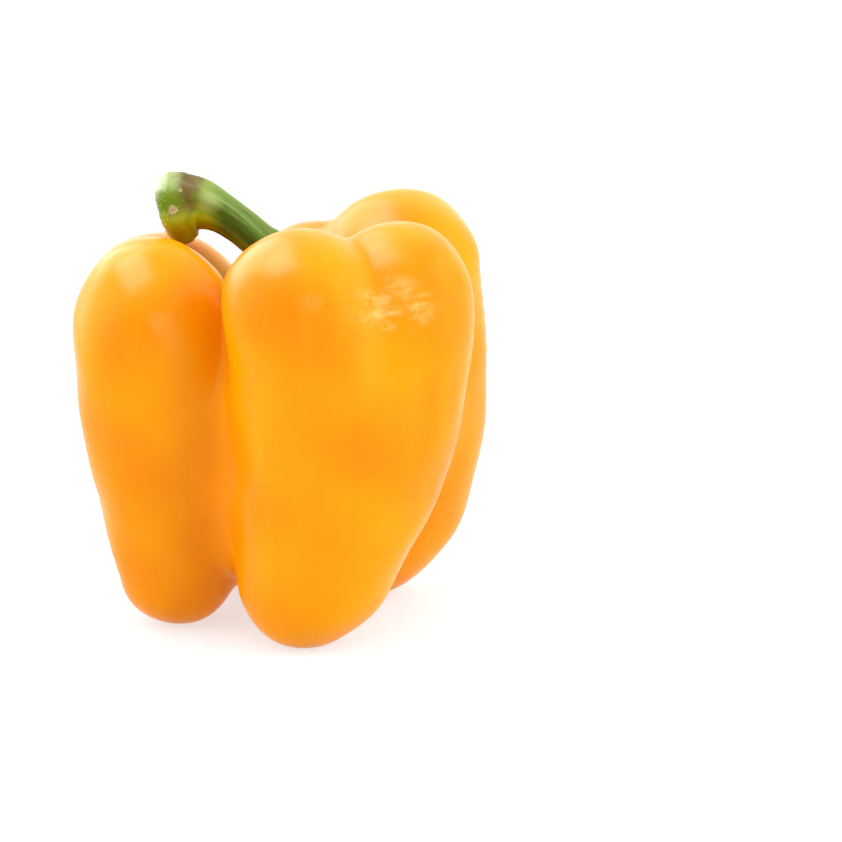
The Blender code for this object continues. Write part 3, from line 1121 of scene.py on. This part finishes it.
@dataclass
class Stem:
    """The ribbed stem, which rises from the calyx, bends over and ends in a dry cut."""

    moved: np.ndarray
    path: tuple = (
        Ball(0.0026, 0.0030, 0.0772, 0.0058),
        Ball(0.0026, 0.0030, 0.0781, 0.0053),
        Ball(0.0023, 0.0030, 0.0796, 0.0049),
        Ball(0.0015, 0.0031, 0.0812, 0.0046),
        Ball(0.0002, 0.0033, 0.0827, 0.0044),
        Ball(-0.0016, 0.0035, 0.0839, 0.0043),
        Ball(-0.0040, 0.0037, 0.0853, 0.0042),
        Ball(-0.0082, 0.0040, 0.0887, 0.0041),
        Ball(-0.0125, 0.0043, 0.0915, 0.0044),
        Ball(-0.0165, 0.0046, 0.0931, 0.0055),
        Ball(-0.0194, 0.0047, 0.0930, 0.0070),
        Ball(-0.0218, 0.0049, 0.0924, 0.0077),
        Ball(-0.0235, 0.0050, 0.0920, 0.0075),
        Ball(-0.0246, 0.0051, 0.0917, 0.0065),
    )
    path_points: int = 160
    ribs: float = 6.0
    rib_depth: float = 0.06
    rib_twist: float = 0.7
    around: int = 128
    along: int = 170
    base_share: float = 0.08
    upright_share: float = 0.25
    cut_share: float = 0.16
    cut_round: float = 0.0013
    cut_dish: float = 0.0010
    skin_relief: float = 0.22 * MM
    cut_relief: float = 1.1 * MM
    crumb_size: float = 1.1 * MM
    grain_radius: float = 4.0
    grain_length: float = 3.0
    weld: float = 0.002 * MM
    sockets: tuple = (
        ("Around", "Int"),
        ("Along", "Int"),
        ("Ribs", "Float"),
        ("Rib Depth", "Float"),
        ("Rib Twist", "Float"),
        ("Base Share", "Float"),
        ("Upright Share", "Float"),
        ("Cut Share", "Float"),
        ("Cut Round", "Float"),
        ("Cut Dish", "Float"),
        ("Skin Relief", "Float"),
        ("Cut Relief", "Float"),
    )

    def _line(self) -> bpy.types.Mesh:
        """Makes the line that the stem follows, with its thickness as an attribute."""
        knots = np.array(self.path)
        padded = np.vstack([2 * knots[0] - knots[1], knots, 2 * knots[-1] - knots[-2]])
        station = np.linspace(0, len(knots) - 1, self.path_points)
        piece = np.minimum(station.astype(int), len(knots) - 2)
        share = (station - piece)[:, None]
        before, first, last, after = (padded[piece + step] for step in range(4))
        bend = 2 * before - 5 * first + 4 * last - after
        twist = 3 * (first - last) + after - before
        points = first + 0.5 * share * (last - before + share * (bend + share * twist))
        points[:, :2] += self.moved
        mesh = bpy.data.meshes.new("stem_line")
        edges = [(place, place + 1) for place in range(self.path_points - 1)]
        mesh.from_pydata([tuple(point[:3]) for point in points], edges, [])
        thickness = mesh.attributes.new("thickness", "FLOAT", "POINT")
        thickness.data.foreach_set("value", points[:, 3])
        return mesh

    def _tree(self) -> Tree:
        """Makes the tree that rolls a grid round the line into the ribbed, closed stem."""
        tree, given = new_tree("ribbed_stem", (*self.sockets, ("Finish", "Material")))
        value = given.outputs
        add, calc, vec = (partial(maker, tree) for maker in (add_node, math_node, vector_node))
        line = add("GeometryNodeMeshToCurve", None, {"Mesh": value["Geometry"]}).outputs[0]
        sheet = {
            "Size X": 1.0,
            "Size Y": 1.0,
            "Vertices X": calc("ADD", value["Around"], 1.0),
            "Vertices Y": calc("ADD", value["Along"], 1.0),
        }
        grid = add("GeometryNodeMeshGrid", None, sheet)
        flat = add("ShaderNodeSeparateXYZ", None, {0: add("GeometryNodeInputPosition").outputs[0]}).outputs
        turn = calc("MULTIPLY", calc("ADD", flat["X"], 0.5), math.tau)
        fall = calc("ADD", flat["Y"], 0.5)
        # The side takes the shares from 0 to 1, the base lies before 0 and the cut after 1
        side_share = calc("SUBTRACT", calc("SUBTRACT", 1.0, value["Base Share"]), value["Cut Share"])
        share = calc("DIVIDE", calc("SUBTRACT", fall, value["Base Share"]), side_share)
        from_base = calc("DIVIDE", fall, value["Base Share"], clamp=True)
        from_cut = calc("DIVIDE", calc("SUBTRACT", 1.0, fall), value["Cut Share"], clamp=True)
        inward = calc("MINIMUM", from_base, from_cut)
        on_cut = calc("GREATER_THAN", share, 1.0)
        thickness = add("GeometryNodeInputNamedAttribute", {"data_type": "FLOAT"}, {"Name": "thickness"})
        spot = {
            "Curves": line,
            "Value": thickness.outputs["Attribute"],
            "Factor": calc("MINIMUM", calc("MAXIMUM", share, 0.0), 1.0),
        }
        sample = add("GeometryNodeSampleCurve", {"data_type": "FLOAT", "mode": "FACTOR"}, spot).outputs
        # Near the base, the rings lie level
        upright = calc("SUBTRACT", 1.0, calc("DIVIDE", share, value["Upright Share"]), clamp=True)
        leaning = vec("SCALE", first=sample["Tangent"], scale=calc("SUBTRACT", 1.0, upright))
        rising = vec("SCALE", first=(0.0, 0.0, 1.0), scale=upright)
        tangent = vec("NORMALIZE", first=vec("ADD", first=leaning, second=rising))
        lean = vec("DOT_PRODUCT", first=tangent, second=(0.0, 1.0, 0.0))
        beside = vec("SUBTRACT", first=(0.0, 1.0, 0.0), second=vec("SCALE", first=tangent, scale=lean))
        beside = vec("NORMALIZE", first=beside)
        over = vec("CROSS_PRODUCT", first=beside, second=tangent)
        cosine = calc("COSINE", turn)
        sine = calc("SINE", turn)
        side = vec("SCALE", first=beside, scale=cosine)
        side = vec("ADD", first=side, second=vec("SCALE", first=over, scale=sine))
        spiral = calc("MULTIPLY", calc("MULTIPLY", share, math.tau), value["Rib Twist"])
        phase = calc("MULTIPLY_ADD", turn, value["Ribs"], spiral)
        swell = calc("MULTIPLY_ADD", calc("COSINE", phase), value["Rib Depth"], 1.0)
        rolled = {
            0: calc("MULTIPLY", cosine, self.grain_radius),
            1: calc("MULTIPLY", sine, self.grain_radius),
            2: calc("MULTIPLY", share, self.grain_length),
        }
        unrolled = add("ShaderNodeCombineXYZ", None, rolled).outputs[0]
        lumps = add("ShaderNodeTexNoise", None, {"Vector": unrolled, "Scale": 0.6, "Detail": 2.0}).outputs[0]
        lumps = calc("MULTIPLY", calc("SUBTRACT", lumps, 0.5), value["Skin Relief"])
        radius = calc("MULTIPLY", calc("MULTIPLY", sample["Value"], swell), inward)
        radius = calc("MULTIPLY_ADD", lumps, inward, radius)
        round_end = calc("MULTIPLY", calc("SUBTRACT", 1.0, calc("POWER", inward, 4.0)), value["Cut Round"])
        dish = calc("MULTIPLY", calc("SUBTRACT", 1.0, calc("POWER", inward, 2.0)), value["Cut Dish"])
        radial = vec("ADD", first=sample["Position"], second=vec("SCALE", first=side, scale=radius))
        coarse = {"Vector": radial, "Scale": 1 / self.crumb_size, "Detail": 3.0}
        crumbs = add("ShaderNodeTexNoise", None, coarse).outputs[0]
        rough = calc("MULTIPLY", calc("SUBTRACT", crumbs, 0.5), value["Cut Relief"])
        rough = calc("MULTIPLY", rough, ranged(tree, inward, 1.0, 0.85))
        forward = calc("MULTIPLY", calc("ADD", calc("SUBTRACT", round_end, dish), rough), on_cut)
        place = vec("ADD", first=radial, second=vec("SCALE", first=tangent, scale=forward))
        cut = calc("MULTIPLY", on_cut, ranged(tree, inward, 0.93, 0.8))
        named = grid.outputs["Mesh"]
        fields = (("grain", "FLOAT_VECTOR", unrolled), ("lift", "FLOAT", sine), ("cut", "FLOAT", cut))
        for label, kind, field in fields:
            settings = {"data_type": kind, "domain": "POINT"}
            store = {"Geometry": named, "Name": label, "Value": field}
            named = add("GeometryNodeStoreNamedAttribute", settings, store).outputs[0]
        placed = add("GeometryNodeSetPosition", None, {"Geometry": named, "Position": place}).outputs[0]
        welded = {"Geometry": placed, "Distance": self.weld}
        closed = add("GeometryNodeMergeByDistance", None, welded).outputs[0]
        end_tree(tree, closed, value["Finish"])
        return tree

    def build(self) -> bpy.types.Object:
        """Builds the stem's skin."""
        skin = new_object("stem_skin", self._line())
        inputs = {label: getattr(self, label.lower().replace(" ", "_")) for label, _ in self.sockets}
        inputs["Finish"] = RibbedStalk().material()
        grow(skin, self._tree(), inputs)
        shell = bmesh.new()
        shell.from_mesh(skin.data)
        bmesh.ops.recalc_face_normals(shell, faces=shell.faces)
        shell.to_mesh(skin.data)
        shell.free()
        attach(skin, "root")
        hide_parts("stem")
        return skin

    @staticmethod
    def _scatter_tree() -> Tree:
        """Makes the tree that strews small tapered crumbs where an attribute of a skin is high."""
        sockets = (
            ("Attribute", "String"),
            ("Per Area", "Float"),
            ("Seed", "Int"),
            ("Thickness", "Float"),
            ("Length", "Float"),
            ("Tilt", "Float"),
            ("Finish", "Material"),
        )
        tree, given = new_tree("strewn_crumbs", sockets)
        value = given.outputs
        add, calc, vec = (partial(maker, tree) for maker in (add_node, math_node, vector_node))
        label = {"Name": value["Attribute"]}
        high = add("GeometryNodeInputNamedAttribute", {"data_type": "FLOAT"}, label).outputs["Attribute"]
        spread = {
            "Mesh": value["Geometry"],
            "Selection": calc("GREATER_THAN", high, 0.5),
            "Density": value["Per Area"],
            "Seed": value["Seed"],
        }
        points = add("GeometryNodeDistributePointsOnFaces", None, spread).outputs
        crumb = {
            "Vertices": 6,
            "Side Segments": 1,
            "Fill Segments": 1,
            "Radius Top": calc("MULTIPLY", value["Thickness"], 0.3),
            "Radius Bottom": value["Thickness"],
            "Depth": value["Length"],
        }
        cone = add("GeometryNodeMeshCone", None, crumb).outputs["Mesh"]
        least = vec("SCALE", first=(-1.0, -1.0, -1.0), scale=value["Tilt"])
        most = vec("SCALE", first=(1.0, 1.0, 1.0), scale=value["Tilt"])
        span = {0: least, 1: most, "Seed": 5}
        tilt = add("FunctionNodeRandomValue", {"data_type": "FLOAT_VECTOR"}, span).outputs[0]
        size = add("FunctionNodeRandomValue", {"data_type": "FLOAT"}, {2: 0.5, 3: 1.4, "Seed": 9}).outputs[1]
        turn = {0: points["Rotation"], 1: tilt}
        turned = add("FunctionNodeRotateRotation", {"rotation_space": "LOCAL"}, turn).outputs[0]
        strewn = {"Points": points["Points"], "Instance": cone, "Rotation": turned, "Scale": size}
        placed = add("GeometryNodeInstanceOnPoints", None, strewn).outputs[0]
        end_tree(tree, placed, value["Finish"])
        return tree

    def build_fibres(self, skin: bpy.types.Object) -> bpy.types.Object:
        """Builds the torn fibres that stand out of the cut end.

        Args:
            skin: The stem's skin.

        Returns:
            The fibres' object.
        """
        fibres = new_object("cut_fibres", skin.data.copy())
        inputs = {
            "Attribute": "cut",
            "Per Area": 2.6e6,
            "Seed": 4,
            "Thickness": 0.08 * MM,
            "Length": 0.6 * MM,
            "Tilt": 1.1,
            "Finish": DryCork("torn_stalk_fibre", "#b9a57c", "#7d6a44").material(),
        }
        grow(fibres, self._scatter_tree(), inputs)
        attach(fibres, "root")
        return fibres


@dataclass
class Flake:
    """A small corky scar on the stem's knob, ragged or round, with a pit in it."""

    name: str
    pixel: tuple
    radius: float
    points: int
    raggedness: float
    height: float
    pit: float
    finish: DryCork
    segments: int = 66
    rings: int = 20

    def build(self, skin: bpy.types.Object, studio: "Studio") -> bpy.types.Object:
        """Builds the scar where the camera sees it, moulded to the skin that carries it.

        Args:
            skin: The stem's skin.
            studio: The studio, whose camera sees the scar at its pixel.

        Returns:
            The scar's object.
        """
        tree = touch_tree(skin)
        eye, sight = studio.ray(*self.pixel)
        centre, outward, _, _ = tree.ray_cast(eye, sight)
        across = outward.orthogonal().normalized()
        beside = outward.cross(across)
        mesh = ball_mesh(self.name, self.segments, self.rings, self._button)
        for vertex in mesh.vertices:
            flat = centre + across * vertex.co.x + beside * vertex.co.y
            touched, _, _, _ = tree.ray_cast(flat + outward * 3 * MM, -outward)
            vertex.co = (touched or flat) + outward * vertex.co.z
        mesh.materials.append(self.finish.material())
        scar = new_object(self.name, mesh)
        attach(scar, "root")
        return scar

    def _button(self, turns: np.ndarray, falls: np.ndarray) -> np.ndarray:
        """Places a ragged button round the origin, which is sunk a little below and pitted on top."""
        share = np.sin(falls * math.pi)
        jags = 1 + self.raggedness * np.cos(self.points * turns) + 0.05 * np.sin(3 * turns + 1.0)
        radius = self.radius * share * (1 + (jags - 1) * share)
        top = falls < 0.5
        lump = self.height * (1 - share**4) ** 0.5 * (1 + 0.25 * np.sin(7 * turns + 9 * share))
        hole = self.pit * np.exp(-((share / 0.28) ** 2))
        heights = np.where(top, lump - hole, -self.height * (1 - share**2) - 0.04 * MM)
        return np.column_stack([np.cos(turns) * radius, np.sin(turns) * radius, heights])


@dataclass(frozen=True)
class Softbox:
    """A soft light that looks at the middle of the pepper.

    One that shines gives highlights without brightening the pepper, and one
    that doesn't brightens it without highlights. Its azimuth is in degrees
    round from the camera's side, to the right.
    """

    name: str
    azimuth: float
    elevation: float
    away: float
    size: tuple
    power: float
    shines: bool
    target: tuple = (0.0, 0.0, 0.05)

    def hang(self) -> bpy.types.Object:
        """Hangs the softbox in the studio."""
        turn, rise = math.radians(self.azimuth), math.radians(self.elevation)
        level = math.cos(rise)
        direction = Vector((math.sin(turn) * level, -math.cos(turn) * level, math.sin(rise)))
        data = bpy.data.lights.new(self.name, "AREA")
        data.shape = "RECTANGLE"
        data.size, data.size_y = self.size
        data.energy = self.power
        made = bpy.data.objects.new(self.name, data)
        made.location = Vector(self.target) + direction * self.away
        made.rotation_euler = (-direction).to_track_quat("-Z", "Y").to_euler()
        made.visible_diffuse = not self.shines
        made.visible_glossy = self.shines
        bpy.context.scene.collection.objects.link(made)
        return made


@dataclass
class Studio:
    """The camera, the white sweep, the soft lights and the white surroundings."""

    lens: float = 100.0
    sensor: float = 36.0
    elevation: float = 13.0
    distance: float = 0.525
    aim: tuple = (0.03148, -0.00007, 0.045)
    surround: float = 1.9
    dark_room: float = 0.35
    bright_side: tuple = (-0.45, 0.45, 0.77)
    dimming: tuple = (-0.4, 0.6)
    floor_size: float = 12.0
    softboxes: tuple = (
        Softbox("key_softbox", -130.0, 44.0, 0.9, (0.7, 0.9), 14.0, True),
        Softbox("crown_softbox", -72.0, 66.0, 0.9, (0.7, 0.6), 20.0, True),
        Softbox("left_fill", -84.0, 12.0, 1.0, (1.0, 1.0), 5.5, False),
        Softbox("front_softbox", 16.0, 16.0, 1.0, (0.5, 0.3), 3.0, True),
        Softbox("left_panel", -118.0, 8.0, 1.0, (0.4, 1.0), 3.5, True),
        Softbox("right_fill", 80.0, 20.0, 1.0, (1.0, 1.0), 12.5, False),
    )

    def _view(self) -> tuple[Vector, Vector]:
        """The directions that are forward and up for the camera."""
        angle = math.radians(self.elevation)
        forward = Vector((0.0, math.cos(angle), -math.sin(angle)))
        return forward, Vector((0.0, math.sin(angle), math.cos(angle)))

    def camera(self) -> bpy.types.Object:
        """Places the camera at the photograph's angle."""
        forward, _ = self._view()
        data = bpy.data.cameras.new("camera")
        data.lens = self.lens
        data.sensor_width = self.sensor
        data.clip_start = 0.01
        made = bpy.data.objects.new("camera", data)
        made.location = Vector(self.aim) - forward * self.distance
        made.rotation_euler = forward.to_track_quat("-Z", "Y").to_euler()
        bpy.context.scene.collection.objects.link(made)
        bpy.context.scene.camera = made
        return made

    def ray(self, across: float, down: float) -> tuple[Vector, Vector]:
        """Finds where the camera is and in which direction it sees a point of its picture.

        Args:
            across: Pixels from the picture's left edge.
            down: Pixels from its top.

        Returns:
            The camera's place and the direction.
        """
        forward, above = self._view()
        focal = self.lens / self.sensor * PICTURE_SIDE
        middle = PICTURE_SIDE / 2
        sight = forward + Vector((1, 0, 0)) * ((across - middle) / focal) - above * ((down - middle) / focal)
        return Vector(self.aim) - forward * self.distance, sight.normalized()

    def floor(self) -> bpy.types.Object:
        """Lays the white floor."""
        plate = bmesh.new()
        bmesh.ops.create_grid(plate, x_segments=8, y_segments=8, size=self.floor_size / 2)
        mesh = bpy.data.meshes.new("studio_floor")
        plate.to_mesh(mesh)
        plate.free()
        mesh.materials.append(PaintedFloor().material())
        made = new_object("studio_floor", mesh)
        return made

    def surroundings(self) -> bpy.types.World:
        """Makes the surroundings: white above and behind the pepper's left, and dim on the other side."""
        world = bpy.data.worlds.new("white_surround")
        world.use_nodes = True
        tree = world.node_tree
        toward = add_node(tree, "ShaderNodeTexCoord").outputs["Generated"]
        facing = vector_node(tree, "DOT_PRODUCT", first=toward, second=self.bright_side)
        strength = ranged(tree, facing, *self.dimming, self.dark_room, self.surround)
        feed(tree, tree.nodes["Background"], {"Color": linear("#ffffff"), "Strength": strength})
        return world

    def build(self) -> None:
        """Sets up the camera, the floor, the lights and the surroundings."""
        self.camera()
        self.floor()
        for softbox in self.softboxes:
            softbox.hang()
        scene = bpy.context.scene
        scene.world = self.surroundings()
        scene.view_settings.view_transform = "Standard"


TAN_CORK = DryCork("tan_scar_cork", "#b3a06c", "#8d7a4a")
FLAKES = (
    Flake("star_scar", (173.0, 210.0), 1.05 * MM, 11, 0.17, 0.14 * MM, 0.16 * MM, TAN_CORK),
    Flake("small_scar", (180.5, 190.5), 0.42 * MM, 5, 0.15, 0.10 * MM, 0.0, TAN_CORK),
)


def main() -> None:
    """Builds the pepper, piece by piece, and its studio."""
    logging.basicConfig(level=logging.INFO, format="%(name)s: %(message)s")
    studio = Studio()
    studio.build()
    waving = relief_tree()
    flesh = Flesh()
    fruit = Fruit(flesh)
    skin, moved = fruit.build(waving)
    LOG.info("fruit skin: %d faces, moved by %s", len(skin.data.polygons), moved)
    scar = fruit.build_scar(skin)
    LOG.info("blossom scar: %d faces", len(scar.data.polygons))
    star = Calyx(flesh, moved).build(waving)
    LOG.info("calyx: %d faces", len(star.data.polygons))
    stem = Stem(moved)
    stalk = stem.build()
    LOG.info("stem: %d faces", len(stalk.data.polygons))
    fibres = stem.build_fibres(stalk)
    LOG.info("cut fibres: %d faces", len(fibres.data.polygons))
    for flake in FLAKES:
        made = flake.build(stalk, studio)
        LOG.info("%s: %d faces", made.name, len(made.data.polygons))


if __name__ == "__main__":
    main()
